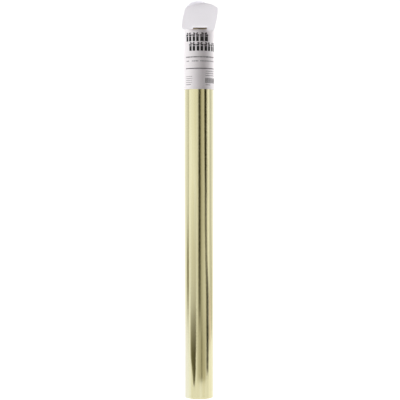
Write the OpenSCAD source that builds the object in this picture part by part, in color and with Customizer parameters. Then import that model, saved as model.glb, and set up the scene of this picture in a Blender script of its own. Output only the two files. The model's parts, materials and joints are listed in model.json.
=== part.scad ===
// A roll of gift wrap. The sheet is wound on a spiral kraft core, and a paper sleeve label
// is slipped over the top end. Two flaps of the label fold in over the open end and meet
// above it. The origin is the centre of the bottom end, on the axis of the roll; +Z runs up
// the roll, and the front of the label faces -Y. All lengths are millimetres.

/* [Core] */
// Inside diameter of the core tube
core_bore_d = 30; // [26:0.5:34]
// How far the core stands out of the sheet at the top end
core_proud = 2; // [0:0.5:4]
// Thickness of one kraft ply of the core
ply_t = 0.5; // [0.3:0.05:0.8]
// Width of a strip of tape that holds the first edge of the sheet to the core
tape_w = 19; // [12:1:25]
// Thickness of that tape
tape_t = 0.1; // [0.08:0.01:0.2]

/* [Wound sheet] */
// Width of the sheet, which is the length of the roll
roll_len = 500; // [350:10:700]
// Outside diameter of the wound sheet
roll_d = 40; // [37:0.5:60]
// Thickness of the outermost turns, which carry the free edge
outer_turn_t = 0.2; // [0.15:0.05:0.4]
// Angle from the front round to the free edge, towards the right
free_edge_angle = 44; // [10:1:170]
// Thickness of the removable glue dots under the free edge
glue_t = 0.1; // [0.05:0.01:0.12]

/* [Label sleeve] */
// Height of the label round the roll
label_h = 81; // [50:1:120]
// Thickness of the label paper
label_t = 0.25; // [0.15:0.05:0.4]
// Clear space between the wound sheet and the label, so that the sleeve slides
label_clear = 0.15; // [0.1:0.05:0.4]
// Arc of the glued overlap at the back of the sleeve
seam_angle = 22; // [12:1:40]

/* [Flaps] */
// Width of the front flap
front_flap_w = 44.4; // [36:0.2:50]
// Height of the front flap's straight sides above the rim
front_side_h = 29; // [26:0.5:34]
// Rise of the front flap's arched top edge
front_arch_h = 7.6; // [4:0.2:12]
// Lean of the front flap to the right
front_lean = 9.3; // [0:0.1:12]
// Width of the back flap
back_flap_w = 35; // [30:0.5:44]
// Height of the back flap's straight sides above the rim
back_side_h = 28.6; // [26:0.1:34]
// Rise of the back flap's round top edge
back_arch_h = 10.4; // [6:0.1:14]
// Lean of the back flap to the right
back_lean = 3; // [0:0.1:12]
// Height above the rim at which the two flaps meet
meet_h = 36; // [30:0.5:38]
// How far the front flap's two feet hang over the rim, outside the label
foot_drop = 2; // [0.5:0.1:2]
// Width of the open slot between those feet
slot_w = 20.2; // [18:0.2:26]
// Height to which that slot is open above the rim
slot_h = 0.6; // [0.2:0.1:3]

/* [Hidden] */
$fn = 96;
CUT = 1;

core_r = core_bore_d / 2;
core_out_r = core_r + 3 * ply_t;
roll_r = roll_d / 2;
outer_turn_in_r = roll_r - outer_turn_t;
label_in_r = roll_r + label_clear;
label_out_r = label_in_r + label_t;

FRONT = -90;                       // direction of the front, about the roll's axis
BACK = 90;                         // direction of the back
free_edge_dir = FRONT + free_edge_angle;
EDGE_STEP = 1;                     // degrees of bare turn beside the free edge

TAPE_LEN = 60;                     // each strip of tape, along the roll
TAPE_HEIGHTS = [0.15, 0.5, 0.85];  // middle of each strip, as a share of the roll
tape_sweep = tape_w / core_out_r * 180 / PI;

DOT_LEN = 14;                      // each glue dot, along the roll
DOT_SWEEP = 16;
DOT_HEIGHTS = [0.12, 0.4, 0.7];    // middle of each dot, as a share of the roll

SEAM_GLUE_T = 0.1;
SEAM_SLACK = 0.04;                 // left between that glue and the flats of the sleeve
SEAM_RAMP = 25;                    // degrees over which the last edge climbs outward
SLEEVE_STEPS = 80;                 // flats round the sleeve

CREASE_GAP = 0.4;                  // between the label's rim and the crease line
FLAP_CLEAR = 0.3;                  // between the label's wall and the front flap's feet
LEAN_POWER = 1.15;                 // how much of a flap's lean lies near its foot
FLAP_T = 0.3;
MEET_GAP = 0.7;                    // between the upright tips of the two flaps
CORNER_R = 4;
FRONT_FOOT_X = -1.3;               // middle of the front flap's foot, from the axis
BACK_FOOT_X = -3;
SLOT_X = 1.8;                      // middle of the slot, from the axis
BACK_DROP = 0.35;                  // the back flap ends just above the rim
ARC_STEPS = 16;
PROFILE_STEPS = 10;
crease_r = label_out_r + FLAP_CLEAR;
crease_z = roll_len + CREASE_GAP;

// A full round tube standing on height z0.
module tube(r_in, r_out, length, z0 = 0) {
  translate([0, 0, z0]) difference() {
    cylinder(h = length, r = r_out);
    translate([0, 0, -CUT]) cylinder(h = length + 2 * CUT, r = r_in);
  }
}

// Part of a round wall: sweep degrees, counter-clockwise from the direction start.
module arc_wall(r_in, r_out, z0, height, start, sweep) {
  rotate([0, 0, start]) rotate_extrude(angle = sweep)
    translate([r_in, z0]) square([r_out - r_in, height]);
}

// One ply of the core, counted from the inside.
module core_ply(n) {
  tube(core_r + n * ply_t, core_r + (n + 1) * ply_t, roll_len + core_proud);
}

module core_inner_ply() { color("#B9905F") core_ply(0); }
module core_middle_ply() { color("#AD8455") core_ply(1); }
module core_outer_ply() { color("#B9905F") core_ply(2); }

// The strips of tape, which lie in shallow pockets of the first turns.
module tape_strips() {
  for (share = TAPE_HEIGHTS)
    arc_wall(core_out_r, core_out_r + tape_t, roll_len * share - TAPE_LEN / 2,
             TAPE_LEN, FRONT - tape_sweep / 2, tape_sweep);
}

module start_tape() { color("#E9E4D2") tape_strips(); }

// The removable glue dots, just behind the free edge and under the last turn.
module glue_dots() {
  for (share = DOT_HEIGHTS)
    arc_wall(outer_turn_in_r - glue_t, outer_turn_in_r, roll_len * share - DOT_LEN / 2,
             DOT_LEN, free_edge_dir - DOT_SWEEP - 2, DOT_SWEEP);
}

module edge_glue() { color("#EDE9DC") glue_dots(); }

// All but the outermost turns, wound tight enough to count as one solid.
module inner_turns() {
  color("#DCD79E") difference() {
    tube(core_out_r, outer_turn_in_r, roll_len);
    tape_strips();
    glue_dots();
  }
}

// The outermost turns, open over a narrow step where the sheet's free edge ends.
module outer_turn() {
  color("#E5E2B9")
    arc_wall(outer_turn_in_r, roll_r, 0, roll_len, free_edge_dir + EDGE_STEP, 360 - EDGE_STEP);
}

// How far the sleeve's inner face has stepped outward, a degrees round from its first edge.
function sleeve_rise(a) =
  let (share = min(1, max(0, (a - 360 + SEAM_RAMP) / SEAM_RAMP)))
  (label_t + SEAM_GLUE_T + SEAM_SLACK) * share * share * (3 - 2 * share);

// A row of points at the distance out from the sleeve's inner face.
function sleeve_face(out) =
  [for (i = [0:SLEEVE_STEPS]) let (a = i / SLEEVE_STEPS * (360 + seam_angle))
    (label_in_r + out + sleeve_rise(a)) * [cos(BACK + a), sin(BACK + a)]];

// The label, rolled into a sleeve: its last edge climbs over its first one at the back.
module label_sleeve() {
  outer = sleeve_face(label_t);
  color("#F4F4F4") translate([0, 0, roll_len - label_h]) linear_extrude(height = label_h)
    polygon(concat(sleeve_face(0), [for (i = [SLEEVE_STEPS:-1:0]) outer[i]]));
}

module label_seam_glue() {
  color("#E8E6DE")
    arc_wall(label_out_r, label_out_r + SEAM_GLUE_T, roll_len - label_h, label_h,
             BACK + 1, seam_angle - 2);
}

// Radius of the arc that rises rise over a chord of half-width half.
function arc_radius(half, rise) = (half * half + rise * rise) / (2 * rise);

// Points of a flap seen from the front, from its foot at height -drop: round lower corners,
// straight sides and an arched top.
function flap_outline(half, side_h, rise, drop) =
  let (r = arc_radius(half, rise), reach = asin(half / r), mid_z = side_h + rise - r,
       corner_z = CORNER_R - drop)
  concat(
    [for (i = [0:ARC_STEPS / 2]) let (a = 270 - i * 180 / ARC_STEPS)
      [-half + CORNER_R + CORNER_R * cos(a), corner_z + CORNER_R * sin(a)]],
    [for (i = [0:ARC_STEPS]) let (a = -reach + 2 * reach * i / ARC_STEPS)
      [r * sin(a), mid_z + r * cos(a)]],
    [for (i = [0:ARC_STEPS / 2]) let (a = -i * 180 / ARC_STEPS)
      [half - CORNER_R + CORNER_R * cos(a), corner_z + CORNER_R * sin(a)]]);

// The same points, leaning to the right by lean degrees about the crease.
function leaning(points, lean) = [for (p = points) [p[0] + p[1] * tan(lean), p[1]]];

// How far a flap's outer face stands from the middle plane, a share s of the way up to meet_h.
function flap_reach(s) = (crease_r - MEET_GAP / 2) * pow(1 - s, LEAN_POWER) + MEET_GAP / 2;

// The unit vector across a flap from its outer face to its inner one, at the same share s.
function inward(s) =
  let (slope = LEAN_POWER * (crease_r - MEET_GAP / 2) * pow(1 - s, LEAN_POWER - 1) / meet_h,
       n = sqrt(1 + slope * slope))
  [1 / n, -slope / n];

// A flap's section: upright feet, a face that leans in from the crease, and an upright tip.
// Both tips stay on their own side of the middle plane.
module flap_section(top, drop) {
  shares = [for (i = [0:PROFILE_STEPS]) i / PROFILE_STEPS];
  outer = [for (s = shares) [-flap_reach(s), meet_h * s]];
  inner = [for (i = [PROFILE_STEPS:-1:0]) outer[i] + FLAP_T * inward(shares[i])];
  polygon(concat(
    [[-crease_r, -drop]], outer, [[-MEET_GAP / 2, top], [-MEET_GAP / 2 + FLAP_T, top]], inner,
    [[-crease_r + FLAP_T, -FLAP_T], [-crease_r + FLAP_T, -drop]]));
}

// A curved flap facing -Y, with its crease at the rim.
module flap(half, side_h, rise, lean, foot_x, drop) {
  top = max(side_h + rise, meet_h) + CUT;
  translate([0, 0, crease_z]) intersection() {
    rotate([90, 0, 90]) linear_extrude(height = 4 * half, center = true) flap_section(top, drop);
    translate([foot_x, 0, 0]) rotate([90, 0, 0])
      linear_extrude(height = 4 * crease_r, center = true)
        polygon(leaning(flap_outline(half, side_h, rise, drop), lean));
  }
}

module front_flap() {
  color("#DDDDE4") difference() {
    flap(front_flap_w / 2, front_side_h, front_arch_h, front_lean, FRONT_FOOT_X, foot_drop);
    translate([SLOT_X - slot_w / 2, -crease_r - CUT, crease_z - foot_drop - CUT])
      cube([slot_w, crease_r, foot_drop + slot_h + CUT]);
  }
}

module back_flap() {
  color("#E6E6EA") rotate([0, 0, 180])
    flap(back_flap_w / 2, back_side_h, back_arch_h, -back_lean, -BACK_FOOT_X, BACK_DROP);
}

core_inner_ply();
core_middle_ply();
core_outer_ply();
start_tape();
inner_turns();
outer_turn();
edge_glue();
label_sleeve();
label_seam_glue();
front_flap();
back_flap();
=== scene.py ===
"""Looks for the gift-wrap roll: gold paper on a kraft core, and a white sleeve label with two flaps."""

import json
import logging
import math
from dataclasses import dataclass
from enum import Enum
from typing import Callable, Iterable, Sequence

import bmesh
import bpy
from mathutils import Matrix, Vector, noise


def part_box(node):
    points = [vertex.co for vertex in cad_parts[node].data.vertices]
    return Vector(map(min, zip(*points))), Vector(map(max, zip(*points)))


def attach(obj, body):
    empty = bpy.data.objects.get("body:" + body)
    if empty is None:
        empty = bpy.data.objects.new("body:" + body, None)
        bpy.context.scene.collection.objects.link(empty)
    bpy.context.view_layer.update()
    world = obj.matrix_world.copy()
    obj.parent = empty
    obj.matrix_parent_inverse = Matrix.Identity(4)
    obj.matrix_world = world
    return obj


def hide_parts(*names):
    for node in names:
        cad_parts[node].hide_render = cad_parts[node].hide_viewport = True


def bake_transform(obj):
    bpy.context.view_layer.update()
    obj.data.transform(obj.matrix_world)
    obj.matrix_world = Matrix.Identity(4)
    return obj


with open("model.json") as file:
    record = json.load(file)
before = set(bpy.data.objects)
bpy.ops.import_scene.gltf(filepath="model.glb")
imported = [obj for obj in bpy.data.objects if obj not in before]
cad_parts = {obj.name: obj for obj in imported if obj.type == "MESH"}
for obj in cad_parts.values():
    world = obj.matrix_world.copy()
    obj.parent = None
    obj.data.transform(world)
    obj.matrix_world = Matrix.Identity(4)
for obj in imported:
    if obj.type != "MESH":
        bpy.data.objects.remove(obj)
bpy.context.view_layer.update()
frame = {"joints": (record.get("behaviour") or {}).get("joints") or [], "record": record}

log = logging.getLogger("gift_wrap_roll")

MM = 0.001
FRONT = -90.0  # direction of the roll's front about +Z, in degrees from +X
BACK = 90.0

# Hidden and added pieces, in millimetres and degrees.
TAPE_LENGTH = 60.0
TAPE_FILM = 0.08
TAPE_COUNT = 3
TAPE_START, TAPE_SWEEP = FRONT - 33, 66.0
FREE_EDGE = FRONT + 44
GLUE_HEIGHTS = (0.12, 0.4, 0.7)  # shares of the roll's length
GLUE_HALF_HEIGHT = 7.0
GLUE_SWEEP = 16.0
GLUE_BEHIND_EDGE = 18.0
SLEEVE_PAPER = 0.2
SLEEVE_INSET = 0.25  # from the sleeve's box to its inner face: the paper and its waves
SEAM_OVERLAP = 22.0
FLAP_MEET_HEIGHT, FLAP_MEET_GAP = 36.0, 0.7

# Print on the label: lengths round it from its front, and heights above its lower edge, in millimetres.
EMBLEM_ROWS = (
    (64.2, 11.8, ((-15.4, 10.0), (-4.6, 9.4), (7.2, 12.0))),
    (51.4, 11.6, ((-9.6, 9.8), (1.2, 9.8), (12.2, 10.2), (23.4, 10.0))),
)
SUBHEADING = ((-19.5, -15.0, 2.0), (-10.0, -1.0, 3.0), (1.5, 26.0, 4.0))
BLOCK_START, BLOCK_BARS = 8.6, 20

# Brightness that gloss sees round the room, by azimuth in degrees from the front.
GLOSS_WALLS = (
    (-180, 1.0), (-130, 0.98), (-119, 0.8), (-104, 0.82), (-94, 0.45), (-86, 0.98), (-60, 0.95), (-35, 0.87),
    (-13, 0.8), (0, 0.9), (62, 0.95), (80, 1.0), (91, 0.72), (103, 0.55), (116, 0.78), (134, 1.0), (180, 1.0),
)
GLOSS_FLOOR = (
    (-100, (1.0, 1.03, 1.22, 1.0)), (-88, (0.98, 1.01, 1.13, 1.0)), (-60, 0.88), (70, 0.86), (90, 1.0),
)

Point = tuple[float, float, float]
Flat = tuple[float, float]
Colour = tuple[float, float, float, float]
Skin = Callable[[float, float], Point]  # a surface: shares across and up to a point
Span = Callable[[float], Flat]  # a card's left and right azimuth at a height
Tree = bpy.types.NodeTree
Socket = bpy.types.NodeSocket
Node = bpy.types.Node
Material = bpy.types.Material
Object = bpy.types.Object


# ---------------------------------------------------------------- node trees


def linear(hex_colour: str) -> Colour:
    """Turns an sRGB hex colour into linear RGBA.

    Args:
        hex_colour: Six hex digits, with or without a leading #.

    Returns:
        Linear red, green, blue and an alpha of 1.
    """
    digits = hex_colour.lstrip("#")
    parts = [int(digits[i : i + 2], 16) / 255 for i in (0, 2, 4)]
    red, green, blue = [c / 12.92 if c <= 0.04045 else ((c + 0.055) / 1.055) ** 2.4 for c in parts]
    return red, green, blue, 1.0


def add(tree: Tree, kind: str, settings: dict | None = None, **inputs: object) -> Node:
    """Adds a node, sets its properties and fills or links its inputs.

    Args:
        tree: Node tree that gets the node.
        kind: Node class without the ShaderNode prefix, such as "TexNoise".
        settings: Property names and their values.
        **inputs: Input values by socket name, with _ for a space. A name that starts with "in" and ends
            in a number means the socket at that place. A node socket is linked, anything else is set.

    Returns:
        The new node.
    """
    made = tree.nodes.new("ShaderNode" + kind)
    for name, value in (settings or {}).items():
        setattr(made, name, value)
    for name, value in inputs.items():
        place = name[2:] if name.startswith("in") else ""
        socket = made.inputs[int(place)] if place.isdigit() else made.inputs[name.replace("_", " ")]
        if isinstance(value, Socket):
            tree.links.new(value, socket)
        else:
            socket.default_value = value
    return made


def ramp(tree: Tree, factor: Socket, stops: Sequence[tuple[float, object]]) -> Socket:
    """Adds a colour ramp.

    Args:
        tree: Node tree that gets the ramp.
        factor: Socket that drives it.
        stops: Places from 0 to 1 with a grey level or a linear RGBA colour each, in order.

    Returns:
        The ramp's colour output.
    """
    made = add(tree, "ValToRGB", in0=factor)
    elements = made.color_ramp.elements
    while len(elements) < len(stops):
        elements.new(0.5)
    for element, (place, value) in zip(elements, stops):
        element.position = place
        element.color = value if isinstance(value, tuple) else (value, value, value, 1.0)
    return made.outputs["Color"]


def start_material(name: str) -> tuple[Material, Tree, Node]:
    """Makes an empty node material.

    Args:
        name: Name of the material.

    Returns:
        The material, its node tree and its output node.
    """
    material = bpy.data.materials.new(name)
    material.use_nodes = True
    tree = material.node_tree
    tree.nodes.clear()
    return material, tree, add(tree, "OutputMaterial")


def place_scaled(tree: Tree, scale: Point) -> Socket:
    """Object coordinates in metres, times a scale per axis.

    Args:
        tree: Node tree that gets the nodes.
        scale: Factor for each axis.

    Returns:
        The scaled coordinate socket.
    """
    coordinates = add(tree, "TexCoord").outputs["Object"]
    return add(tree, "Mapping", in0=coordinates, Scale=scale).outputs["Vector"]


def grain(tree: Tree, scale: float | Point, detail: float, roughness: float = 0.5) -> Socket:
    """Adds noise in object coordinates.

    Args:
        tree: Node tree that gets the nodes.
        scale: Cells in a metre, one number or one for each axis.
        detail: How many finer layers it has.
        roughness: Strength of each finer layer against the one before.

    Returns:
        The noise's factor socket.
    """
    if isinstance(scale, tuple):
        at, scale = place_scaled(tree, scale), 1.0
    else:
        at = add(tree, "TexCoord").outputs["Object"]
    made = add(tree, "TexNoise", Scale=scale, Detail=detail, Roughness=roughness, Vector=at)
    return made.outputs["Fac"]


# ------------------------------------------------------------------ finishes


@dataclass(frozen=True)
class MetallisedPaper:
    """Gift wrap of coated paper with a lacquered metal film: a soft mirror with a fine orange peel.

    The clear lacquer over the metal is what whitens the gold where it turns away from the eye.
    """

    colour: str = "E6E1B8"
    deep_colour: str = "DFD7A6"
    roughness: float = 0.13
    lacquer_ior: float = 1.6
    peel_mm: float = 1.6
    streak_mm: float = 5.0
    streaks_along_per_m: float = 6.0

    def material(self) -> Material:
        """Makes the gold face's material.

        Returns:
            The material.
        """
        material, tree, out = start_material("metallised_paper_lacquered")
        # Long faint streaks along the roll, where the sheet was pulled tight as it was wound.
        across_per_m = 1 / (self.streak_mm * MM)
        streaks = grain(tree, (across_per_m, across_per_m, self.streaks_along_per_m), 3.0)
        tint = ramp(tree, streaks, [(0.3, linear(self.deep_colour)), (0.7, linear(self.colour))])
        # The peel of the lacquer over the paper's fibres, which breaks up every reflected edge.
        per_m = 1 / (self.peel_mm * MM)
        peel = grain(tree, (per_m, per_m, per_m * 0.45), 4.0, 0.6)
        bump = add(tree, "Bump", Strength=0.35, Distance=0.00006, Height=peel)
        gloss = ramp(tree, peel, [(0.25, self.roughness * 0.8), (0.8, self.roughness * 1.5)])
        shader = add(
            tree, "BsdfPrincipled", Base_Color=tint, Metallic=1.0, Roughness=gloss,
            Normal=bump.outputs["Normal"],
            Coat_Weight=1.0, Coat_Roughness=self.roughness, Coat_IOR=self.lacquer_ior,
        )
        tree.links.new(shader.outputs["BSDF"], out.inputs["Surface"])
        return material


@dataclass(frozen=True)
class UncoatedPaper:
    """The white, machine-made back and cut edge of the gift wrap: soft fibres and no gloss."""

    colour: str = "F1EEE6"
    shade: str = "DAD5C8"
    fibre_mm: float = 0.5

    def material(self) -> Material:
        """Makes the material of the back and of the cut edges.

        Returns:
            The material.
        """
        material, tree, out = start_material("uncoated_paper_back")
        fibres = grain(tree, 1 / (self.fibre_mm * MM), 5.0)
        tint = ramp(tree, fibres, [(0.3, linear(self.shade)), (0.65, linear(self.colour))])
        bump = add(tree, "Bump", Strength=0.4, Distance=0.00003, Height=fibres)
        shader = add(tree, "BsdfPrincipled", Base_Color=tint, Roughness=0.85, Normal=bump.outputs["Normal"])
        tree.links.new(shader.outputs["BSDF"], out.inputs["Surface"])
        return material


@dataclass(frozen=True)
class KraftBoard:
    """Spiral-wound kraft board: brown, matte, with long fibres along the strip and darker flecks."""

    colour: str = "958372"
    shade: str = "776758"
    fleck: str = "57493D"
    fibre_mm: float = 0.9
    flecks_per_m: float = 900.0

    def material(self) -> Material:
        """Makes the core's material.

        Returns:
            The material.
        """
        material, tree, out = start_material("kraft_board_spiral_wound")
        per_m = 1 / (self.fibre_mm * MM)
        fibres = grain(tree, (per_m, per_m, per_m * 0.35), 6.0, 0.65)
        flecks = grain(tree, self.flecks_per_m, 2.0)
        board = ramp(tree, fibres, [(0.3, linear(self.shade)), (0.7, linear(self.colour))])
        dark = ramp(tree, flecks, [(0.62, 0.0), (0.72, 1.0)])
        tint = add(
            tree, "Mix", {"data_type": "RGBA"}, Factor=dark, in6=board, in7=linear(self.fleck),
        ).outputs[2]
        bump = add(tree, "Bump", Strength=0.5, Distance=0.0001, Height=fibres)
        shader = add(tree, "BsdfPrincipled", Base_Color=tint, Roughness=0.9, Normal=bump.outputs["Normal"])
        tree.links.new(shader.outputs["BSDF"], out.inputs["Surface"])
        return material


@dataclass(frozen=True)
class LabelStock:
    """White coated label paper, calendered: almost matte, with a soft fibre mottle.

    Thin flaps let some light through; painted shade darkens the label under the front flap's slot.
    """

    name: str
    colour: str
    shade: str
    roughness: float = 0.55
    see_through: float = 0.0
    fibre_mm: float = 0.7
    # Painted shade under the front flap's slot: its left, right, low and high edges in millimetres, and its
    # grey.
    slot_shade: tuple[float, float, float, float] | None = None
    slot_shade_colour: str = "D6CCC7"

    def material(self) -> Material:
        """Makes the label paper's material.

        Returns:
            The material.
        """
        material, tree, out = start_material(self.name)
        mottle = grain(tree, 1 / (self.fibre_mm * MM), 5.0, 0.6)
        tint = ramp(tree, mottle, [(0.3, linear(self.shade)), (0.7, linear(self.colour))])
        # Painted shade: the label under the front flap's slot is mixed towards a warm grey, where the flap
        # shades the rim.
        if self.slot_shade:
            painted_shade = linear(self.slot_shade_colour)
            tint = add(
                tree, "Mix", {"data_type": "RGBA"}, Factor=self.slot_shade_mask(tree), in6=tint, in7=painted_shade,
            ).outputs[2]
        bump = add(tree, "Bump", Strength=0.3, Distance=0.00002, Height=mottle)
        normal = bump.outputs["Normal"]
        shader = add(tree, "BsdfPrincipled", Base_Color=tint, Roughness=self.roughness, Normal=normal)
        surface = shader.outputs["BSDF"]
        if self.see_through:
            glow = add(tree, "BsdfTranslucent", Color=tint, Normal=normal).outputs["BSDF"]
            surface = add(tree, "MixShader", in0=self.see_through, in1=surface, in2=glow).outputs["Shader"]
        tree.links.new(surface, out.inputs["Surface"])
        return material

    def slot_shade_mask(self, tree: Tree) -> Socket:
        """Finds the painted shade under the front flap's slot: between two places across the front and two
        heights.

        Args:
            tree: Node tree that gets the nodes.

        Returns:
            A socket that is 1 in the painted shade and 0 away from it.
        """
        fade = 2 * MM
        x_low, x_high, z_low, z_high = (value * MM for value in self.slot_shade)
        at = add(tree, "SeparateXYZ", Vector=add(tree, "TexCoord").outputs["Object"])
        soft = {"interpolation_type": "SMOOTHSTEP"}
        left = add(
            tree, "MapRange", soft, Value=at.outputs["X"], From_Min=x_low - fade, From_Max=x_low,
        ).outputs[0]
        right = add(
            tree, "MapRange", soft, Value=at.outputs["X"], From_Min=x_high + fade, From_Max=x_high,
        ).outputs[0]
        up = add(tree, "MapRange", soft, Value=at.outputs["Z"], From_Min=z_low, From_Max=z_high).outputs[0]
        front = add(tree, "Math", {"operation": "LESS_THAN"}, in0=at.outputs["Y"], in1=0.0).outputs[0]
        across = add(tree, "Math", {"operation": "MULTIPLY"}, in0=left, in1=right).outputs[0]
        faced = add(tree, "Math", {"operation": "MULTIPLY"}, in0=up, in1=front).outputs[0]
        return add(tree, "Math", {"operation": "MULTIPLY"}, in0=across, in1=faced).outputs[0]


@dataclass(frozen=True)
class PrintInk:
    """Offset ink on the label: solid, a little glossier than the paper, faintly mottled where it sank in."""

    name: str
    colour: str
    sunk_colour: str
    mottles_per_m: float = 1600.0

    def material(self) -> Material:
        """Makes the ink's material.

        Returns:
            The material.
        """
        material, tree, out = start_material(self.name)
        mottle = grain(tree, self.mottles_per_m, 3.0)
        tint = ramp(tree, mottle, [(0.35, linear(self.colour)), (0.8, linear(self.sunk_colour))])
        shader = add(tree, "BsdfPrincipled", Base_Color=tint, Roughness=0.42)
        tree.links.new(shader.outputs["BSDF"], out.inputs["Surface"])
        return material


@dataclass(frozen=True)
class ClearFilm:
    """Clear polypropylene tape or dried adhesive: glossy, nearly colourless, seen as a slight yellowing."""

    name: str
    colour: str
    roughness: float
    clear: float = 0.6
    ripples_per_m: float = 700.0

    def material(self) -> Material:
        """Makes the film's material.

        Returns:
            The material.
        """
        material, tree, out = start_material(self.name)
        ripples = grain(tree, self.ripples_per_m, 3.0)
        bump = add(tree, "Bump", Strength=0.3, Distance=0.00003, Height=ripples)
        gloss = ramp(tree, ripples, [(0.3, self.roughness * 0.7), (0.7, self.roughness * 1.3)])
        shader = add(
            tree, "BsdfPrincipled", Base_Color=linear(self.colour), Roughness=gloss,
            Transmission_Weight=self.clear, Normal=bump.outputs["Normal"],
        )
        tree.links.new(shader.outputs["BSDF"], out.inputs["Surface"])
        return material


# -------------------------------------------------------------------- meshes


def polar(radius: float, degrees: float, height: float) -> Point:
    """A point at radius and height in millimetres and an angle from +X, in metres."""
    angle = math.radians(degrees)
    return radius * MM * math.cos(angle), radius * MM * math.sin(angle), height * MM


def make_object(
    name: str,
    points: Iterable[Point],
    faces: Iterable[Sequence[int]],
    materials: Sequence[Material],
    face_materials: Sequence[int] | None = None,
    sharp_degrees: float = 35.0,
) -> Object:
    """Makes a mesh object with outward normals and smooth shading between its sharp edges.

    Args:
        name: Name of the object and its mesh.
        points: Vertex places in metres.
        faces: Vertex indices of each face.
        materials: Materials in slot order.
        face_materials: Slot of each face, or None for the first slot.
        sharp_degrees: Edges that turn more than this stay sharp.

    Returns:
        The object, linked to the scene.
    """
    mesh = bpy.data.meshes.new(name)
    mesh.from_pydata(list(points), [], [list(face) for face in faces])
    for material in materials:
        mesh.materials.append(material)
    if face_materials is not None:
        mesh.polygons.foreach_set("material_index", list(face_materials))
    mesh.validate()
    tidy = bmesh.new()
    tidy.from_mesh(mesh)
    bmesh.ops.recalc_face_normals(tidy, faces=tidy.faces)
    tidy.to_mesh(mesh)
    tidy.free()
    mesh.shade_smooth()
    mesh.set_sharp_from_angle(angle=math.radians(sharp_degrees))
    made = bpy.data.objects.new(name, mesh)
    bpy.context.scene.collection.objects.link(made)
    return made


class Side(Enum):
    """Which skin of a sheet a face belongs to."""

    OUTER = 0
    INNER = 1
    EDGE = 2


@dataclass
class SheetMesh:
    """A closed thin sheet over a grid: an outer and an inner skin joined round their border."""

    columns: int
    rows: int
    outer: Skin
    inner: Skin

    def build(
        self, name: str, materials: Sequence[Material], slots: dict[Side, int] | None = None
    ) -> Object:
        """Builds the sheet.

        Args:
            name: Name of the piece.
            materials: Materials in slot order.
            slots: Material slot of each side, or None to give every face the first.

        Returns:
            The new object.
        """
        slots = slots or {side: 0 for side in Side}
        across, up = self.columns + 1, self.rows + 1
        grid = [(i / self.columns, j / self.rows) for j in range(up) for i in range(across)]
        points = [self.outer(u, v) for u, v in grid] + [self.inner(u, v) for u, v in grid]
        shift = across * up
        faces: list[Sequence[int]] = []
        kinds: list[int] = []
        for j in range(self.rows):
            for i in range(self.columns):
                a = j * across + i
                quad = (a, a + 1, a + across + 1, a + across)
                faces += [quad, tuple(shift + k for k in reversed(quad))]
                kinds += [slots[Side.OUTER], slots[Side.INNER]]
        border = list(range(across))
        border += [j * across + self.columns for j in range(1, up)]
        border += [self.rows * across + i for i in range(self.columns - 1, -1, -1)]
        border += [j * across for j in range(self.rows - 1, 0, -1)]
        for k, a in enumerate(border):
            b = border[(k + 1) % len(border)]
            faces.append((b, a, shift + a, shift + b))
            kinds.append(slots[Side.EDGE])
        return make_object(name, points, faces, materials, kinds)


def warm(level: float) -> Colour:
    """A level of grey in linear RGBA that turns brown as it darkens, like the dim side of a lit room."""
    return level, level * mix(0.9, 1.0, level), level * mix(0.2, 1.0, math.sqrt(level)), 1.0


def ease(share: float) -> float:
    """Smooth step from 0 to 1, held at both ends."""
    t = min(1.0, max(0.0, share))
    return t * t * (3 - 2 * t)


def mix(a: float, b: float, share: float) -> float:
    """The value share of the way from a to b."""
    return a + (b - a) * share


def drift(x: float, y: float, seed: float) -> float:
    """Smooth noise between about -1 and 1, the same in every run."""
    return noise.noise(Vector((x, y, seed)))


# ----------------------------------------------------------------- the roll


@dataclass
class CoreTube:
    """The kraft tube: three plies, each a strip wound in a helix with a butt seam. Sizes are millimetres."""

    bore_r: float
    ply: float
    length: float
    helix_lead: float = 150.0
    seam_depth: float = 0.12
    around: int = 120
    rows: int = 60

    def seam_dip(self, degrees: float, height: float, start: float) -> float:
        """How deep the surface dips at a place, from the butt seam that runs past it.

        Args:
            degrees: Angle of the place about the axis.
            height: Height of the place.
            start: Angle of the seam at the bottom end.

        Returns:
            Depth in millimetres.
        """
        away = (degrees - start - 360 * height / self.helix_lead + 180) % 360 - 180
        return self.seam_depth * max(0.0, 1 - abs(away) / 3.2)

    def build_ply(self, name: str, index: int, board: Material) -> Object:
        """Builds one ply as a closed tube whose grid follows its own seam.

        Args:
            name: Name of the piece.
            index: Place of the ply, counted from the inside.
            board: Kraft material.

        Returns:
            The new object.
        """
        r_in = self.bore_r + index * self.ply
        r_out = r_in + self.ply
        start = 120.0 * index
        points: list[Point] = []
        for j in range(self.rows + 1):
            height = self.length * j / self.rows
            turn = start + 360 * height / self.helix_lead
            for i in range(self.around):
                degrees = turn + 360 * i / self.around
                dip = self.seam_dip(degrees, height, start)
                points += [polar(r_in + dip, degrees, height), polar(r_out - dip, degrees, height)]
        faces: list[Sequence[int]] = []
        ring = 2 * self.around
        for j in range(self.rows):
            for i in range(self.around):
                a, b = j * ring + 2 * i, j * ring + 2 * ((i + 1) % self.around)
                faces.append((b, a, a + ring, b + ring))
                faces.append((a + 1, b + 1, b + 1 + ring, a + 1 + ring))
        top = self.rows * ring
        for i in range(self.around):
            a, b = 2 * i, 2 * ((i + 1) % self.around)
            faces += [(a, b, b + 1, a + 1), (top + a + 1, top + b + 1, top + b, top + a)]
        return make_object(name, points, faces, [board])


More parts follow.
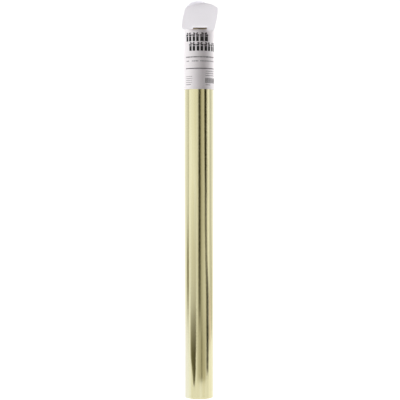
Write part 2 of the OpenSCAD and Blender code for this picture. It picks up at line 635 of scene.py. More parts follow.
@dataclass
class WoundSheet:
    """The gift wrap itself: one long spiral, whose last turn ends in a free edge. Sizes are millimetres."""

    core_r: float
    roll_r: float
    length: float
    last_turn: float
    edge_degrees: float
    paper: float = 0.08
    pitch: float = 0.1
    inner_steps: int = 96
    outer_steps: int = 480
    outer_rows: int = 200
    lift: float = 0.16
    lift_degrees: float = 11.0
    sunk: float = 0.4

    def end_height(self, turns: float, top: bool) -> float:
        """Height of the cut edge at a place along the spiral, a little uneven from turn to turn.

        Args:
            turns: Place along the spiral, in turns from its start.
            top: Whether it is the upper end.

        Returns:
            Height in millimetres.
        """
        uneven = 0.16 + 0.12 * drift(turns * 0.9, 5.0 * top, 3.1) + 0.05 * drift(turns * 7.0, 5.0 * top, 8.4)
        return self.length - self.sunk - uneven if top else uneven * 0.25

    def build_inner(self, gold: Material, white: Material) -> Object:
        """Builds the inner turns as a real spiral, so that both ends show their edges.

        Args:
            gold: Material of the face.
            white: Material of the back and the cut edges.

        Returns:
            The new object.
        """
        r_start = self.core_r + 0.02
        r_end = self.roll_r - self.last_turn
        turns = (r_end - r_start - self.paper) / self.pitch
        steps = int(turns * self.inner_steps)
        slots = {Side.OUTER: 0, Side.INNER: 1, Side.EDGE: 1}

        def skin(out: float) -> Skin:
            """The sheet's surface at a distance out from its back."""

            def place(u: float, v: float) -> Point:
                """A point of the sheet.

                Args:
                    u: Share of the way along the spiral.
                    v: Share of the way up the roll.

                Returns:
                    The point in metres.
                """
                gone = u * turns
                degrees = self.edge_degrees - 360 * (turns - gone)
                height = mix(self.end_height(gone, False), self.end_height(gone, True), v)
                return polar(r_start + self.pitch * gone + out, degrees, height)

            return place

        sheet = SheetMesh(steps, 1, skin(self.paper), skin(0.0))
        return sheet.build("sheet_inner_turns", [gold, white], slots)

    def ripple(self, degrees: float, height: float) -> float:
        """How far the outermost turn stands off a true cylinder, from the way it was wound.

        Args:
            degrees: Angle of the place.
            height: Height of the place.

        Returns:
            Distance in millimetres.
        """
        around = math.radians(degrees)
        x, y = math.cos(around) * 1.6, math.sin(around) * 1.6
        slow = noise.noise(Vector((x, y, height / 190)))
        fine = noise.noise(Vector((x * 3.1, y * 3.1, height / 60 + 9)))
        return 0.05 * slow + 0.012 * fine

    def build_outer(self, gold: Material, white: Material) -> Object:
        """Builds the last turn, with its faint ripples and its slightly lifted free edge.

        Args:
            gold: Material of the face.
            white: Material of the back and the cut edges.

        Returns:
            The new object.
        """
        slots = {Side.OUTER: 0, Side.INNER: 1, Side.EDGE: 1}

        def skin(out: float) -> Skin:
            """The sheet's surface at a distance out from its gold face."""

            def place(u: float, v: float) -> Point:
                """A point of the last turn.

                Args:
                    u: Share of the way round.
                    v: Share of the way up the roll.

                Returns:
                    The point in metres.
                """
                degrees = self.edge_degrees - 360 * (1 - u)
                height = mix(self.end_height(u, False) * 0.2, self.length - self.sunk, v)
                left = 360 * (1 - u)
                rise = self.lift * (1 - ease(left / self.lift_degrees))
                radius = self.roll_r - 0.1 - self.pitch * (1 - u) + rise
                tight = ease(u * 18)
                return polar(radius + self.ripple(degrees, height) * tight + out, degrees, height)

            return place

        sheet = SheetMesh(self.outer_steps, self.outer_rows, skin(0.0), skin(-self.paper))
        return sheet.build("sheet_outer_turn", [gold, white], slots)


@dataclass
class ArcPatch:
    """A thin closed patch that lies on a round wall, such as a strip of tape. Sizes are millimetres."""

    r_in: float
    r_out: float
    z_low: float
    z_high: float
    start: float
    sweep: float
    round_r: float = 0.0
    uneven: float = 0.0
    columns: int = 24
    rows: int = 16

    def skin(self, radius: float) -> Skin:
        """The patch's surface at one radius.

        Args:
            radius: Radius of the surface.

        Returns:
            A function from grid place to point.
        """

        def place(u: float, v: float) -> Point:
            """A point of the patch.

            Args:
                u: Share of the way across.
                v: Share of the way up.

            Returns:
                The point in metres.
            """
            middle = (self.z_low + self.z_high) / 2
            half = (self.z_high - self.z_low) / 2
            width = math.radians(self.sweep) * radius
            inset = min(u, 1 - u) * width
            if self.round_r and inset < self.round_r:
                half -= self.round_r - math.sqrt(max(0.0, self.round_r**2 - (self.round_r - inset) ** 2))
            half -= self.uneven * (0.5 + 0.5 * drift(u * 9, v, middle))
            return polar(radius, self.start + self.sweep * u, middle + half * (2 * v - 1))

        return place

    def build(self, name: str, material: Material) -> Object:
        """Builds the patch as one piece."""
        sheet = SheetMesh(self.columns, self.rows, self.skin(self.r_out), self.skin(self.r_in))
        return sheet.build(name, [material])


def join(name: str, parts: Sequence[Object]) -> Object:
    """Joins several new objects into one piece.

    Args:
        name: Name of the joined piece.
        parts: Objects to join; the first one stays.

    Returns:
        The joined object.
    """
    with bpy.context.temp_override(active_object=parts[0], selected_editable_objects=list(parts)):
        bpy.ops.object.join()
    parts[0].name = name
    parts[0].data.name = name
    return parts[0]


# ---------------------------------------------------------------- the label


def bezier(a: Flat, b: Flat, c: Flat, d: Flat, steps: int = 14) -> list[Flat]:
    """Points of a cubic curve.

    Args:
        a: First end.
        b: Handle of the first end.
        c: Handle of the last end.
        d: Last end.
        steps: Number of steps.

    Returns:
        The points in order, without d itself.
    """
    found = []
    for k in range(steps):
        t = k / steps
        s = 1 - t
        found.append(
            tuple(s**3 * a[i] + 3 * s * s * t * b[i] + 3 * s * t * t * c[i] + t**3 * d[i] for i in (0, 1))
        )
    return found


@dataclass
class PrintShape:
    """A flat shape of ink: an outline and its holes, in millimetres round and up the label."""

    outline: list[Flat]
    holes: list[list[Flat]]


@dataclass
class LabelSleeve:
    """The white sleeve round the top of the roll, its overlap at the back and the print on its front.

    Sizes are millimetres. Places on the print are lengths round the label from its front, and heights
    above the label's lower edge.
    """

    r_in: float
    paper: float
    z_low: float
    z_high: float
    seam_degrees: float
    seam_glue: float = 0.1
    seam_ramp: float = 25.0
    steps: int = 300
    rows: int = 40
    ink: float = 0.03
    rim_dip: float = 0.8

    def rim(self, degrees: float) -> float:
        """Height of the upper edge, which dips a little under the front flap's slot."""
        away = abs((degrees - FRONT - 5 + 180) % 360 - 180)
        return self.z_high - self.rim_dip * ease((38 - away) / 14)

    def lap(self, degrees: float) -> float:
        """How far the sleeve has climbed outward, at an angle round from its first edge."""
        return (self.paper + self.seam_glue) * ease((degrees - 360 + self.seam_ramp) / self.seam_ramp)

    def wave(self, degrees: float, height: float) -> float:
        """How far the paper's slow waves stand out; they are stronger towards the free lower edge.

        Args:
            degrees: Angle of the place.
            height: Height of the place.

        Returns:
            Distance in millimetres.
        """
        loose = 1 - ease((height - self.z_low) / 40)
        around = math.radians(degrees)
        soft = noise.noise(Vector((math.cos(around) * 1.3, math.sin(around) * 1.3, height / 70)))
        return 0.05 * soft + 0.06 * loose * (0.5 + 0.5 * noise.noise(Vector((around * 1.1, 2.0, 7.0))))

    def build_sleeve(self, stock: Material) -> Object:
        """Builds the sleeve as one sheet whose last edge climbs over its first.

        Args:
            stock: Label paper.

        Returns:
            The new object.
        """

        def skin(out: float) -> Skin:
            """The sleeve's surface at a distance out from its inner face."""

            def place(u: float, v: float) -> Point:
                """A point of the sleeve.

                Args:
                    u: Share of the way round, overlap included.
                    v: Share of the way up.

                Returns:
                    The point in metres.
                """
                degrees = u * (360 + self.seam_degrees)
                edge = 0.12 * drift(u * 14, 0.0, 1.0)
                height = mix(self.z_low + 0.12 + edge, self.rim(BACK + degrees), v)
                stand = self.lap(degrees) + self.wave(BACK + degrees, height) * ease((360 - degrees) / 30)
                return polar(self.r_in + stand + out, BACK + degrees, height)

            return place

        sheet = SheetMesh(self.steps, self.rows, skin(self.paper), skin(0.0))
        return sheet.build("label_sleeve_sheet", [stock])

    def on_label(self, shape: PrintShape, out: float) -> tuple[list[Point], list[list[int]]]:
        """Lays a flat shape on the sleeve, cut into strips so that it follows the curve.

        Args:
            shape: The outline and its holes.
            out: Height of the ink over the paper.

        Returns:
            Points in metres, and faces.
        """
        flat = bmesh.new()
        edges = []
        for loop in (shape.outline, *shape.holes):
            corners = [flat.verts.new((x, z, 0.0)) for x, z in loop]
            edges += [flat.edges.new((corners[k - 1], corners[k])) for k in range(len(corners))]
        bmesh.ops.triangle_fill(flat, use_beauty=True, use_dissolve=False, edges=edges)
        low = min(x for x, _ in shape.outline)
        high = max(x for x, _ in shape.outline)
        strip = 0.7
        for k in range(1, math.ceil((high - low) / strip)):
            everything = flat.verts[:] + flat.edges[:] + flat.faces[:]
            cut = (low + k * strip, 0, 0)
            bmesh.ops.bisect_plane(flat, geom=everything, plane_co=cut, plane_no=(1, 0, 0))
        flat.verts.index_update()
        points = []
        for vertex in flat.verts:
            x, up = vertex.co.x, vertex.co.y
            degrees = FRONT + math.degrees(x / (self.r_in + self.paper))
            height = self.z_low + up
            stand = self.wave(degrees, height)
            points.append(polar(self.r_in + self.paper + stand + out, degrees, height))
        faces = [[vertex.index for vertex in face.verts] for face in flat.faces]
        flat.free()
        return points, faces

    def build_print(self, name: str, shapes: Sequence[PrintShape], ink: Material) -> Object:
        """Builds some shapes of ink as one thin closed piece.

        Args:
            name: Name of the piece.
            shapes: The shapes.
            ink: Ink material.

        Returns:
            The new object.
        """
        points: list[Point] = []
        faces: list[list[int]] = []
        for shape in shapes:
            found, quads = self.on_label(shape, self.ink)
            faces += [[k + len(points) for k in face] for face in quads]
            points += found
        made = make_object(name, points, faces, [ink])
        crisp = bmesh.new()
        crisp.from_mesh(made.data)
        for edge in crisp.edges:
            edge.smooth = not edge.is_boundary
        crisp.to_mesh(made.data)
        crisp.free()
        solid = made.modifiers.new("thickness", "SOLIDIFY")
        solid.thickness = self.ink * 1.2 * MM
        solid.offset = -1.0
        return made


@dataclass
class GiftBox:
    """A gift box in solid ink: a lid, a body cut by its ribbon, and a bow. Millimetres on the label."""

    x: float
    z: float
    width: float
    height: float
    ribbon: float = 1.5
    gap: float = 0.5

    def at(self, x: float, z: float) -> Flat:
        """A point given in millimetres from the middle of the box's foot."""
        return self.x + x, self.z + z

    def panel(self, x_low: float, x_high: float, z_low: float, z_high: float) -> PrintShape:
        """A plain panel between two places and two heights."""
        corners = ((x_low, z_low), (x_high, z_low), (x_high, z_high), (x_low, z_high))
        return PrintShape([self.at(x, z) for x, z in corners], [])

    def loop(self, side: int, foot: float) -> PrintShape:
        """One solid loop of the bow.

        Args:
            side: -1 for the left loop, 1 for the right one.
            foot: Height of its knot.

        Returns:
            The loop.
        """
        reach, tall = self.width * 0.36, self.height - foot
        knot, tip = self.at(0.25 * side, foot), self.at(reach * side, foot + tall * 0.55)
        up = bezier(knot, self.at(0.5 * side, foot + tall), self.at(reach * side, foot + tall * 1.3), tip)
        down = bezier(tip, self.at(reach * side, foot + tall * 0.05), self.at(reach * 0.6 * side, foot), knot)
        return PrintShape(up + down[:-1], [])

    def shapes(self) -> list[PrintShape]:
        """Every shape of the box, none over another.

        Returns:
            The shapes.
        """
        half, slit = self.width / 2, self.ribbon / 2
        lid_low, lid_high = self.height * 0.6, self.height * 0.78
        found = []
        for side in (-1, 1):
            inner, outer = sorted((slit * side, (half - 0.5) * side))
            found.append(self.panel(inner, outer, 0, lid_low - self.gap))
            inner, outer = sorted((slit * side, half * side))
            found.append(self.panel(inner, outer, lid_low, lid_high))
            found.append(self.loop(side, lid_high + self.gap * 0.5))
        return found


def bar(x_low: float, x_high: float, z: float, tall: float) -> PrintShape:
    """A plain bar of ink from x_low to x_high, centred on height z."""
    low, high = z - tall / 2, z + tall / 2
    return PrintShape([(x_low, low), (x_high, low), (x_high, high), (x_low, high)], [])


def dashes(x_low: float, x_high: float, z: float, tall: float, seed: float) -> list[PrintShape]:
    """A row of uneven dashes that stands for a line of small print, with no letters in it.

    Args:
        x_low: Start of the row.
        x_high: End of the row.
        z: Height of the row's middle.
        tall: Height of the dashes.
        seed: Makes each row different.

    Returns:
        The dashes.
    """
    found = []
    x, k = x_low, 0
    while x < x_high - 0.6:
        length = 1.9 + 1.5 * drift(k * 1.7, seed, 0.5)
        height = tall * (0.85 + 0.25 * abs(drift(k * 2.3, seed, 4.0)))
        found.append(bar(x, min(x + length, x_high), z, height))
        x += length + tall * 0.45
        k += 1
    return found


@dataclass
class LabelPrint:
    """What is printed on the label: an emblem, headings, a rule, small print and a block of bars."""

    sleeve: LabelSleeve

    def build(self, black: Material, grey: Material) -> list[Object]:
        """Builds every printed piece.

        Args:
            black: Ink of the bold print.
            grey: Thinner-looking ink of the small print.

        Returns:
            The pieces.
        """
        make = self.sleeve.build_print
        boxes = [GiftBox(x, foot, wide, tall) for foot, tall, row in EMBLEM_ROWS for x, wide in row]
        emblem = make("label_gift_box_emblem", [shape for box in boxes for shape in box.shapes()], black)
        heading = make("label_heading_dashes", dashes(-20.5, 26.5, 43.2, 1.5, 1.0), black)
        second = [shape for low, high, seed in SUBHEADING for shape in dashes(low, high, 37.7, 1.1, seed)]
        subheading = make("label_subheading_dashes", second, grey)
        rule = make("label_rule", [bar(-21.0, 26.5, 27.8, 1.0)], black)
        left = [shape for k in range(4) for shape in dashes(-21.0, -9.5, 17.0 - 2.6 * k, 0.55, 10.0 + k)]
        left += dashes(-20.5, -11.5, 6.2, 0.9, 20.0)
        right = [shape for k in range(3) for shape in dashes(9.0, 27.0, 24.2 - 2.9 * k, 0.7, 30.0 + k)]
        small = make("label_small_print_dashes", left + right, grey)
        stripes = []
        x = BLOCK_START
        for k in range(BLOCK_BARS):
            wide = 0.35 + 0.28 * (k * 7 % 3)
            stripes.append(bar(x, x + wide, 11.6, 6.8))
            x += wide + 0.32 + 0.22 * (k * 5 % 3)
        block = make("label_stripe_block", stripes + dashes(9.0, 17.0, 5.8, 0.7, 40.0), black)
        return [emblem, heading, subheading, rule, small, block]


# ---------------------------------------------------------------- the flaps


@dataclass
class Flap:
    """A stiff paper flap that leans in from the rim, over the open end, to its upright tip.

    Sizes are millimetres. face is -1 for the front flap and 1 for the back one. feet are how far its
    left and right ends hang below the crease; slot is the middle, width and height of the gap between
    them.
    """

    name: str
    face: int
    width: float
    side_h: float
    arch_h: float
    lean: float
    foot_x: float
    foot_r: float
    foot_z: float
    meet_h: float
    gap: float
    feet: Flat = (0.35, 0.35)
    slot: tuple[float, float, float] | None = None
    paper: float = 0.2
    corners: Flat = (4.0, 4.0)
    cling: float = 0.02
    lip: float = 0.0
    swell: float = 1.0
    lean_power: float = 1.15
    columns: int = 120
    rows: int = 48

    def low(self, across: float) -> float:
        """Height of the lower edge over the crease.

        Args:
            across: Distance from the flap's middle line.

        Returns:
            Height in millimetres.
        """
        inset = self.width / 2 - abs(across)
        side = 0 if across < 0 else 1
        found, corner = -self.feet[side], self.corners[side]
        if inset < corner:
            found += corner - math.sqrt(max(0.0, corner**2 - (corner - inset) ** 2))
        if self.slot:
            middle, wide, tall = self.slot
            inside = wide / 2 - abs(across + self.foot_x - middle)
            found = mix(found, tall, ease((inside + 0.4) / 1.3))
        return found

    def high(self, across: float) -> float:
        """Height of the arched upper edge over the crease.

        Args:
            across: Distance from the flap's middle line.

        Returns:
            Height in millimetres.
        """
        half = self.width / 2
        radius = (half * half + self.arch_h * self.arch_h) / (2 * self.arch_h)
        top = self.side_h + self.arch_h - radius + math.sqrt(radius * radius - across * across)
        inset = half - abs(across)
        soft = 2.5
        if inset < soft:
            top -= 0.5 * (soft - math.sqrt(max(0.0, soft * soft - (soft - inset) ** 2)))
        return top

    def depth(self, across: float, up: float) -> float:
        """Distance of the flap's outer face from the roll's axis.

        Args:
            across: Distance from the flap's middle line.
            up: Height over the crease.

        Returns:
            Distance in millimetres.
        """
        share = min(1.0, up / self.meet_h)
        bow = 1 - self.cling * (2 * across / self.width) ** 2
        curl = 0.35 * drift(across / 16, up / 14, 2.0 * self.face) * ease(up / 8)
        lean = (self.foot_r - self.gap / 2) * (1 - share) ** self.lean_power
        return self.gap / 2 + lean * bow + abs(curl) * 0.5 + self.lip_at(across, up)

    def lip_at(self, across: float, up: float) -> float:
        """How far the edge over the slot is bent outward.

        Args:
            across: Distance from the flap's middle line.
            up: Height over the crease.

        Returns:
            Distance in millimetres.
        """
        if not self.slot:
            return 0.0
        middle, wide, tall = self.slot
        near = ease((wide / 2 + 1.5 - abs(across + self.foot_x - middle)) / 3)
        return self.lip * near * max(0.0, 1 - max(0.0, up - tall) / 3.2) ** 1.3

    def middle(self, u: float, v: float) -> Vector:
        """A point of the outer face.

        Args:
            u: Share of the way across.
            v: Share of the way up.

        Returns:
            The point in millimetres.
        """
        across = self.width * (u - 0.5)
        up = mix(self.low(across), self.high(across), v)
        climbed = min(1.0, max(0.0, up / self.side_h))
        wider = self.swell * (2 * across / self.width) * math.sin(math.pi * climbed)
        x = self.foot_x + across + wider + up * math.tan(math.radians(self.lean))
        return Vector((x, self.face * self.depth(across, up), self.foot_z + up))

    def place(self, u: float, v: float, back: float) -> Point:
        """A point of the flap, moved back from its outer face along the face's own normal.

        Args:
            u: Share of the way across.
            v: Share of the way up.
            back: How far it is moved, in millimetres.

        Returns:
            The point in metres.
        """
        step = 0.004
        at = self.middle(u, v)
        along = self.middle(min(1, u + step), v) - self.middle(max(0, u - step), v)
        above = self.middle(u, min(1, v + step)) - self.middle(u, max(0, v - step))
        normal = along.cross(above).normalized()
        if normal.y * self.face < 0:
            normal.negate()
        return tuple((at - normal * back) * MM)

    def build(self, stock: Material) -> Object:
        """Builds the flap as one closed sheet.

        Args:
            stock: Label paper.

        Returns:
            The new object.
        """
        sheet = SheetMesh(
            self.columns, self.rows,
            lambda u, v: self.place(u, v, 0.0),
            lambda u, v: self.place(u, v, self.paper),
        )
        return sheet.build(self.name, [stock])

    def build_crease(
        self, name: str, x_low: float, x_high: float, rim: float, stock: Material
    ) -> Object:
        """Builds one narrow strip of the crease that joins the flap's foot to the sleeve's rim.

        Args:
            name: Name of the piece.
            x_low: Left edge of the strip.
            x_high: Right edge of the strip.
            rim: Outer radius of the sleeve.
            stock: Label paper.

        Returns:
            The new object.
        """
        reach = 0.9

        def skin(back: float) -> Skin:
            """The strip's surface at a distance back from its outer face."""

            def place(u: float, v: float) -> Point:
                """A point of the strip.

                Args:
                    u: Share of the way across.
                    v: Share of the way up, from the rim to just inside the flap.

                Returns:
                    The point in metres.
                """
                x = mix(x_low, x_high, u)
                low_y = self.face * math.sqrt(rim * rim - x * x)
                across = x - self.foot_x
                high_y = self.face * (self.depth(across, reach) - 0.05)
                z = mix(self.foot_z - 1.2, self.foot_z + reach, v)
                return x * MM, (mix(low_y, high_y, ease(v)) - self.face * back) * MM, z * MM

            return place

        return SheetMesh(8, 8, skin(0.0), skin(0.18)).build(name, [stock])


# --------------------------------------------------------------- the studio


@dataclass
class Studio:
    """A plain white studio: pale floor, soft lamps at the sides and above, and cards only gloss shows."""

    room: float = 30.0
    lens_mm: float = 111.5
    sensor_mm: float = 36.0
    eye: Point = (0.0013, -1.688, 0.317)
    tilt_degrees: float = 1.62

    def camera(self) -> None:
        """Puts the camera level with the roll's middle, looking slightly down at it."""
        lens = bpy.data.cameras.new("camera")
        lens.lens = self.lens_mm
        lens.sensor_width = self.sensor_mm
        made = bpy.data.objects.new("camera", lens)
        made.location = self.eye
        made.rotation_euler = (math.radians(90 - self.tilt_degrees), 0, 0)
        bpy.context.scene.collection.objects.link(made)
        bpy.context.scene.camera = made

    def world(self) -> None:
        """Lights the room evenly, shows white walls, and gives gloss the walls' real unevenness."""
        world = bpy.data.worlds.new("studio")
        bpy.context.scene.world = world
        world.use_nodes = True
        tree = world.node_tree
        tree.nodes.clear()
        direction = add(tree, "TexCoord").outputs["Generated"]
        parts = add(tree, "SeparateXYZ", Vector=direction)
        forward = add(tree, "Math", {"operation": "MULTIPLY"}, in0=parts.outputs["Y"], in1=-1.0).outputs[0]
        turn = add(tree, "Math", {"operation": "ARCTAN2"}, in0=parts.outputs["X"], in1=forward).outputs[0]
        share = add(
            tree, "MapRange", Value=turn, From_Min=-math.pi, From_Max=math.pi, To_Min=0.0, To_Max=1.0,
        ).outputs["Result"]
        gloss = ramp(tree, share, [((degrees + 180) / 360, level) for degrees, level in GLOSS_WALLS])
        ground = ramp(tree, share, [((degrees + 180) / 360, level) for degrees, level in GLOSS_FLOOR])
        below = add(
            tree, "MapRange", Value=parts.outputs["Z"], From_Min=-0.115, From_Max=-0.135,
            To_Min=0.0, To_Max=1.0,
        ).outputs["Result"]
        gloss = add(tree, "Mix", {"data_type": "RGBA"}, Factor=below, in6=gloss, in7=ground).outputs[2]
        path = add(tree, "LightPath")
        seen = add(tree, "Background", Color=(1, 1, 1, 1), Strength=1.1).outputs[0]
        mirrored = add(tree, "Background", Color=gloss, Strength=1.1).outputs[0]
        fill = add(tree, "Background", Color=linear("F8F1F3"), Strength=0.27).outputs[0]
        lit = add(tree, "MixShader", in0=path.outputs["Is Glossy Ray"], in1=fill, in2=mirrored).outputs[0]
        both = add(tree, "MixShader", in0=path.outputs["Is Camera Ray"], in1=lit, in2=seen).outputs[0]
        add(tree, "OutputWorld", Surface=both)

    def lamp(
        self, name: str, azimuth: float, elevation: float, size: float, watts: float, away: float = 2.2
    ) -> None:
        """Adds a soft square lamp aimed at the upper half of the roll.

        Args:
            name: Name of the lamp.
            azimuth: Degrees from the front round to the right.
            elevation: Degrees above the horizon.
            size: Side of the lamp in metres.
            watts: Power.
            away: Distance in metres.
        """
        data = bpy.data.lights.new(name, "AREA")
        data.size = size
        data.energy = watts
        made = bpy.data.objects.new(name, data)
        a, e = math.radians(azimuth), math.radians(elevation)
        aim = Vector((0, 0, 0.4))
        offset = Vector((math.sin(a) * math.cos(e), -math.cos(a) * math.cos(e), math.sin(e))) * away
        made.location = aim + offset
        made.rotation_euler = offset.to_track_quat("Z", "Y").to_euler()
        made.visible_glossy = False
        made.visible_camera = False
        bpy.context.scene.collection.objects.link(made)

    def flag(
        self,
        name: str,
        radius: float,
        span: Span,
        low: float,
        high: float,
        stops: Sequence[tuple[float, float]],
        fade: Sequence[tuple[float, float]] = ((0.0, 1.0), (1.0, 1.0)),
        tint: str = "FFFFFF",
    ) -> None:
        """Stands a curved card near the roll that only reflections show.

        Args:
            name: Name of the card.
            radius: Its distance from the roll's axis in metres.
            span: Azimuths of its left and right edges at a height, in degrees from the front to the right.
            low: Height of its lower edge.
            high: Height of its upper edge.
            stops: Brightness at shares of the way across.
            fade: How much of the card shows at shares of the way up; the rest is what stands behind it.
            tint: Colour of the card's bright parts.
        """
        columns, rows = 40, 16
        points, faces, across, up = [], [], [], []
        for j in range(rows + 1):
            z = mix(low, high, j / rows)
            start, end = span(z)
            for i in range(columns + 1):
                a = math.radians(mix(start, end, i / columns))
                points.append((radius * math.sin(a), -radius * math.cos(a), z))
                across.append(i / columns)
                up.append(j / rows)
        for j in range(rows):
            for i in range(columns):
                k = j * (columns + 1) + i
                faces.append((k, k + 1, k + columns + 2, k + columns + 1))
        material, tree, out = start_material(name)
        tones = [(place, tuple(a * b for a, b in zip(warm(level), linear(tint)))) for place, level in stops]
        shade = ramp(tree, add(tree, "Attribute", {"attribute_name": "across"}).outputs["Fac"], tones)
        there = ramp(tree, add(tree, "Attribute", {"attribute_name": "up"}).outputs["Fac"], fade)
        glow = add(tree, "Emission", Color=shade, Strength=1.0).outputs[0]
        clear = add(tree, "BsdfTransparent").outputs[0]
        faded = add(tree, "MixShader", in0=there, in1=clear, in2=glow).outputs[0]
        tree.links.new(faded, out.inputs["Surface"])
        card = make_object(name, points, faces, [material])
        for label, values in (("across", across), ("up", up)):
            card.data.attributes.new(label, "FLOAT", "POINT").data.foreach_set("value", values)
        card.visible_camera = card.visible_diffuse = card.visible_shadow = False
        card.visible_transmission = False

    def floor(self) -> None:
        """Lays the pale floor."""
        material, tree, out = start_material("pale_floor")
        tint = ramp(tree, grain(tree, 4.0, 2.0), [(0.2, linear("FAFAFA")), (0.8, linear("FDFDFD"))])
        shader = add(tree, "BsdfPrincipled", Base_Color=tint, Roughness=0.9)
        tree.links.new(shader.outputs["BSDF"], out.inputs["Surface"])
        half = self.room
        corners = [(-half, -half, 0.0), (half, -half, 0.0), (half, half, 0.0), (-half, half, 0.0)]
        ground = make_object("floor", corners, [(0, 1, 2, 3)], [material])
        ground.visible_diffuse = False
        ground.visible_glossy = False
        lit = bpy.data.collections.new("lit_by_floor_light")
        lit.objects.link(ground)
        data = bpy.data.lights.new("floor_light", "SUN")
        data.energy = 3.0
        data.angle = math.radians(40)
        sun = bpy.data.objects.new("floor_light", data)
        sun.visible_glossy = False
        bpy.context.scene.collection.objects.link(sun)
        sun.light_linking.receiver_collection = lit

    def build(self) -> None:
        """Builds the whole studio."""
        scene = bpy.context.scene
        scene.view_settings.view_transform = "Standard"
        scene.view_settings.look = "None"
        self.camera()
        self.world()
        self.floor()
        self.lamp("left_softbox", -77, 4, 1.4, 44)
        self.lamp("right_back_softbox", 115, 4, 1.4, 56)
        self.lamp("top_softbox", 0, 89, 1.5, 62, away=2.6)
        self.flag(
            "front_wall_card", 0.62, lambda z: (-10, 64), 0.001, 0.95,
            [
                (0.0, 0.7), (0.136, 0.02), (0.262, 0.03), (0.345, 0.46), (0.55, 0.66), (0.68, 0.72),
                (0.8, 0.8), (1.0, 0.95),
            ],
        )
        self.flag(
            "low_front_card", 0.15, lambda z: (-16, 56), 0.001, 0.2,
            [(0.0, 0.85), (0.163, 0.6), (0.39, 0.47), (0.5, 0.2), (0.608, 0.52), (0.85, 0.57), (1.0, 0.85)],
            fade=[(0.0, 1.0), (0.28, 1.0), (0.42, 0.62), (0.57, 0.2), (0.9, 0.04), (1.0, 0.0)],
        )
        self.flag(
            "rose_wall_card", 0.3, lambda z: (82, 101), 0.022, 0.125,
            [(0.0, 0.85), (0.3, 0.75), (0.7, 0.72), (1.0, 0.9)],
            fade=[(0.0, 0.0), (0.2, 1.0), (0.8, 0.9), (1.0, 0.0)], tint="FFEDED",
        )
        self.flag(
            "right_edge_flag", 0.3, lambda z: (108, 126), 0.035, 0.22,
            [(0.0, 0.9), (0.4, 0.55), (0.7, 0.6), (1.0, 0.95)],
            fade=[(0.0, 0.0), (0.15, 1.0), (0.5, 1.0), (1.0, 0.0)],
        )
        self.flag(
            "left_edge_flag", 0.5, lambda z: (-115, -82), 0.03, 0.26,
            [(0.0, 0.95), (0.35, 0.28), (0.7, 0.17), (1.0, 0.95)],
            fade=[(0.0, 0.0), (0.3, 0.85), (0.45, 1.0), (0.6, 0.85), (0.8, 0.3), (1.0, 0.0)],
        )

        def slanted(z: float) -> Flat:
            """The right flag's edges, which swing right towards the floor and bulge a little before it.

            Args:
                z: Height in metres.

            Returns:
                Azimuths of the left and right edges.
            """
            swing = 12 * ease((0.24 - z) / 0.14)
            bulge = ease((z - 0.012) / 0.02)
            left = 41.5 + swing - 5 * bulge * ease((0.078 - z) / 0.025) - 4 * ease((z - 0.28) / 0.1)
            return left, 58.5 + swing + 5.5 * bulge * ease((0.16 - z) / 0.06) + 3.5 * ease((z - 0.2) / 0.03)

        self.flag(
            "right_flag", 0.185, slanted, 0.007, 0.9,
            [(0.0, 0.45), (0.22, 0.02), (0.78, 0.02), (1.0, 0.6)],
            fade=[
                (0.0, 0.88), (0.04, 0.92), (0.07, 0.98), (0.095, 0.9), (0.13, 0.92), (0.18, 0.82),
                (0.27, 0.82), (0.34, 1.0), (1.0, 1.0),
            ],
        )

        def spindle(z: float) -> Flat:
            """The low left flag's edges, which close in towards the floor."""
            right = -22 - 8 * ease((0.025 - z) / 0.02) + 4 * ease((z - 0.03) / 0.04)
            return -68 + 26 * ease((0.05 - z) / 0.05), right

        self.flag(
            "low_left_flag", 0.12, spindle, 0.001, 0.3,
            [(0.0, 0.5), (0.2, 0.16), (0.5, 0.11), (0.78, 0.07), (0.9, 0.09), (1.0, 0.5)],
            fade=[
                (0.0, 1.0), (0.15, 0.98), (0.22, 0.86), (0.3, 0.7), (0.39, 0.44), (0.5, 0.32), (0.63, 0.25),
                (0.87, 0.1), (1.0, 0.0),
            ],
        )


# ------------------------------------------------------------------- build


def settle(piece: Object, body: str, slot: str, *nodes: str) -> Object:
    """Rides a piece on a body and hides the CAD nodes it stands for.

    Args:
        piece: The new piece.
        body: Body it moves with.
        slot: Not used.
        *nodes: CAD nodes it replaces.

    Returns:
        The same piece.
    """
    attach(piece, body)
    if nodes:
        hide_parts(*nodes)
    log.info("%s rides on %s", piece.name, body)
    return piece


def outer_r(node: str) -> float:
    """A round node's outer radius in millimetres, from its box."""
    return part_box(node)[1].x / MM


def build_core(kraft: Material) -> None:
    """Builds the three plies of the tube.

    Args:
        kraft: Kraft board.
    """
    bore = next(m for m in frame["record"]["mounts"] if m["name"] == "core_bore")
    bore_r, length = bore["dims"]["r_mm"], bore["dims"]["length_mm"]
    core = CoreTube(bore_r, (outer_r("core_outer_ply") - bore_r) / 3, length)
    for index, layer in enumerate(("inner", "middle", "outer")):
        node = f"core_{layer}_ply"
        settle(core.build_ply(f"kraft_{layer}_ply", index, kraft), "roll", "kraft_board", node)


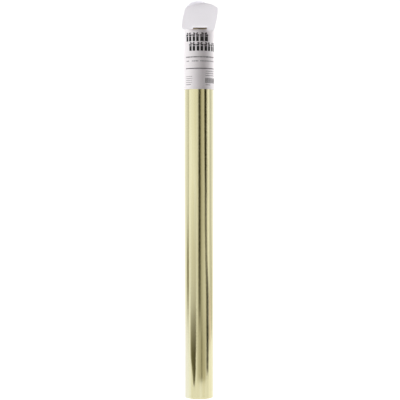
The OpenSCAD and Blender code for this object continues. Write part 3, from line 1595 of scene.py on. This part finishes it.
def build_sheet(gold: Material, white: Material, tape: Material, glue: Material) -> None:
    """Builds the wound sheet with the tape at its start and the glue dots at its end.

    Args:
        gold: Material of the sheet's face.
        white: Material of its back and cut edges.
        tape: Clear tape.
        glue: Dried adhesive.
    """
    core_r, roll_r, turn_in_r = outer_r("core_outer_ply"), outer_r("outer_turn"), outer_r("inner_turns")
    strips = []
    low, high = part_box("start_tape")
    tape_span = (high.z - low.z) / MM
    for k in range(TAPE_COUNT):
        z_low = low.z / MM + k * (tape_span - TAPE_LENGTH) / (TAPE_COUNT - 1)
        patch = ArcPatch(
            core_r, core_r + TAPE_FILM, z_low, z_low + TAPE_LENGTH, TAPE_START, TAPE_SWEEP, uneven=0.3,
        )
        strips.append(patch.build(f"tape_strip_{k}", tape))
    settle(join("start_tape_strips", strips), "roll", "clear_tape", "start_tape")

    sheet_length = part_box("outer_turn")[1].z / MM
    sheet = WoundSheet(core_r + 0.12, roll_r, sheet_length, roll_r - turn_in_r, FREE_EDGE)
    settle(sheet.build_inner(gold, white), "roll", "gold_paper", "inner_turns")
    settle(sheet.build_outer(gold, white), "roll", "gold_paper", "outer_turn")

    dots = []
    for k, share in enumerate(GLUE_HEIGHTS):
        middle = sheet_length * share
        dot = ArcPatch(
            turn_in_r - 0.06, turn_in_r + 0.02, middle - GLUE_HALF_HEIGHT, middle + GLUE_HALF_HEIGHT,
            FREE_EDGE - GLUE_BEHIND_EDGE, GLUE_SWEEP, round_r=2.6, uneven=0.4,
        )
        dots.append(dot.build(f"glue_dot_{k}", glue))
    settle(join("edge_glue_dots", dots), "roll", "dry_glue", "edge_glue")


def build_label(stock: Material, black: Material, grey: Material, glue: Material) -> float:
    """Builds the sleeve, its print and the glue in its overlap.

    Args:
        stock: Label paper.
        black: Ink of the bold print.
        grey: Ink of the small print.
        glue: Dried adhesive.

    Returns:
        The sleeve's outer radius in millimetres.
    """
    low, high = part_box("label_sleeve")
    label_r = -low.x / MM
    sleeve = LabelSleeve(label_r - SLEEVE_INSET, SLEEVE_PAPER, low.z / MM, high.z / MM, SEAM_OVERLAP)
    settle(sleeve.build_sleeve(stock), "label", "label_paper", "label_sleeve")
    for piece in LabelPrint(sleeve).build(black, grey):
        settle(piece, "label", "label_paper")
    seam = ArcPatch(
        label_r - 0.04, label_r + 0.04, low.z / MM + 1, high.z / MM - 1, BACK + 2, 18, uneven=0.5,
    )
    settle(seam.build("label_seam_glue_strip", glue), "label", "dry_glue", "label_seam_glue")
    return label_r


def build_flaps(stock: Material, thin_stock: Material, label_r: float) -> None:
    """Builds both flaps and the crease strips that join them to the sleeve's rim.

    Args:
        stock: Paper of the front flap and of the creases.
        thin_stock: More translucent paper of the back flap.
        label_r: Outer radius of the sleeve.
    """
    joints = {joint["name"]: joint for joint in frame["joints"]}
    hinge = joints["front_crease"]["pos_m"]
    foot_r, foot_z = -hinge[1] / MM, hinge[2] / MM
    front = Flap(
        "front_flap_sheet", -1, width=44.4, side_h=29.0, arch_h=7.6, lean=9.3, foot_x=-1.3, foot_r=foot_r,
        foot_z=foot_z, meet_h=FLAP_MEET_HEIGHT, gap=FLAP_MEET_GAP, feet=(1.5, 3.4), corners=(4.0, 1.8),
        slot=(1.3, 19.6, 0.8), lip=1.7,
    )
    settle(front.build(stock), "front_panel", "flap_paper", "front_flap")
    back = Flap(
        "back_flap_sheet", 1, width=35.0, side_h=28.6, arch_h=10.4, lean=3.0, foot_x=-3.0, foot_r=foot_r,
        foot_z=foot_z, meet_h=FLAP_MEET_HEIGHT, gap=FLAP_MEET_GAP, swell=0.0,
    )
    settle(back.build(thin_stock), "back_panel", "flap_paper", "back_flap")
    for name, flap, panel, x_low, x_high in (
        ("front_crease_left", front, "front_panel", -12.5, -8.6),
        ("front_crease_right", front, "front_panel", 12.2, 15.2),
        ("back_crease_strip", back, "back_panel", -9.0, 9.0),
    ):
        strip = flap.build_crease(name, x_low, x_high, label_r - 0.06, stock)
        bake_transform(strip)
        log.info("%s blends from label to %s", name, panel)


def main() -> None:
    """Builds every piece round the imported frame, in order."""
    logging.basicConfig(level=logging.INFO, format="%(message)s")
    Studio().build()

    gold = MetallisedPaper().material()
    white = UncoatedPaper().material()
    kraft = KraftBoard().material()
    # Painted shade on the label just under the front flap's slot.
    slot_shade = (-9.0, 12.5, 497.2, 499.6)
    label_stock = LabelStock("label_paper_coated", "F7F4F5", "F1EEEF", slot_shade=slot_shade).material()
    flap_stock = LabelStock("flap_paper_coated", "F6F5F7", "F1F0F3", see_through=0.25).material()
    thin_stock = LabelStock("flap_paper_translucent", "F7F6F9", "F2F1F5", see_through=0.58).material()
    black = PrintInk("offset_ink_black", "0A0A0B", "1B1A1C").material()
    grey = PrintInk("offset_ink_grey", "55545A", "6C6B71").material()
    tape = ClearFilm("polypropylene_tape_clear", "EFE9D6", 0.15).material()
    glue = ClearFilm("dried_adhesive_clear", "EDE8DA", 0.4, clear=0.4).material()

    build_core(kraft)
    build_sheet(gold, white, tape, glue)
    label_r = build_label(label_stock, black, grey, glue)
    build_flaps(flap_stock, thin_stock, label_r)


if __name__ == "__main__":
    main()
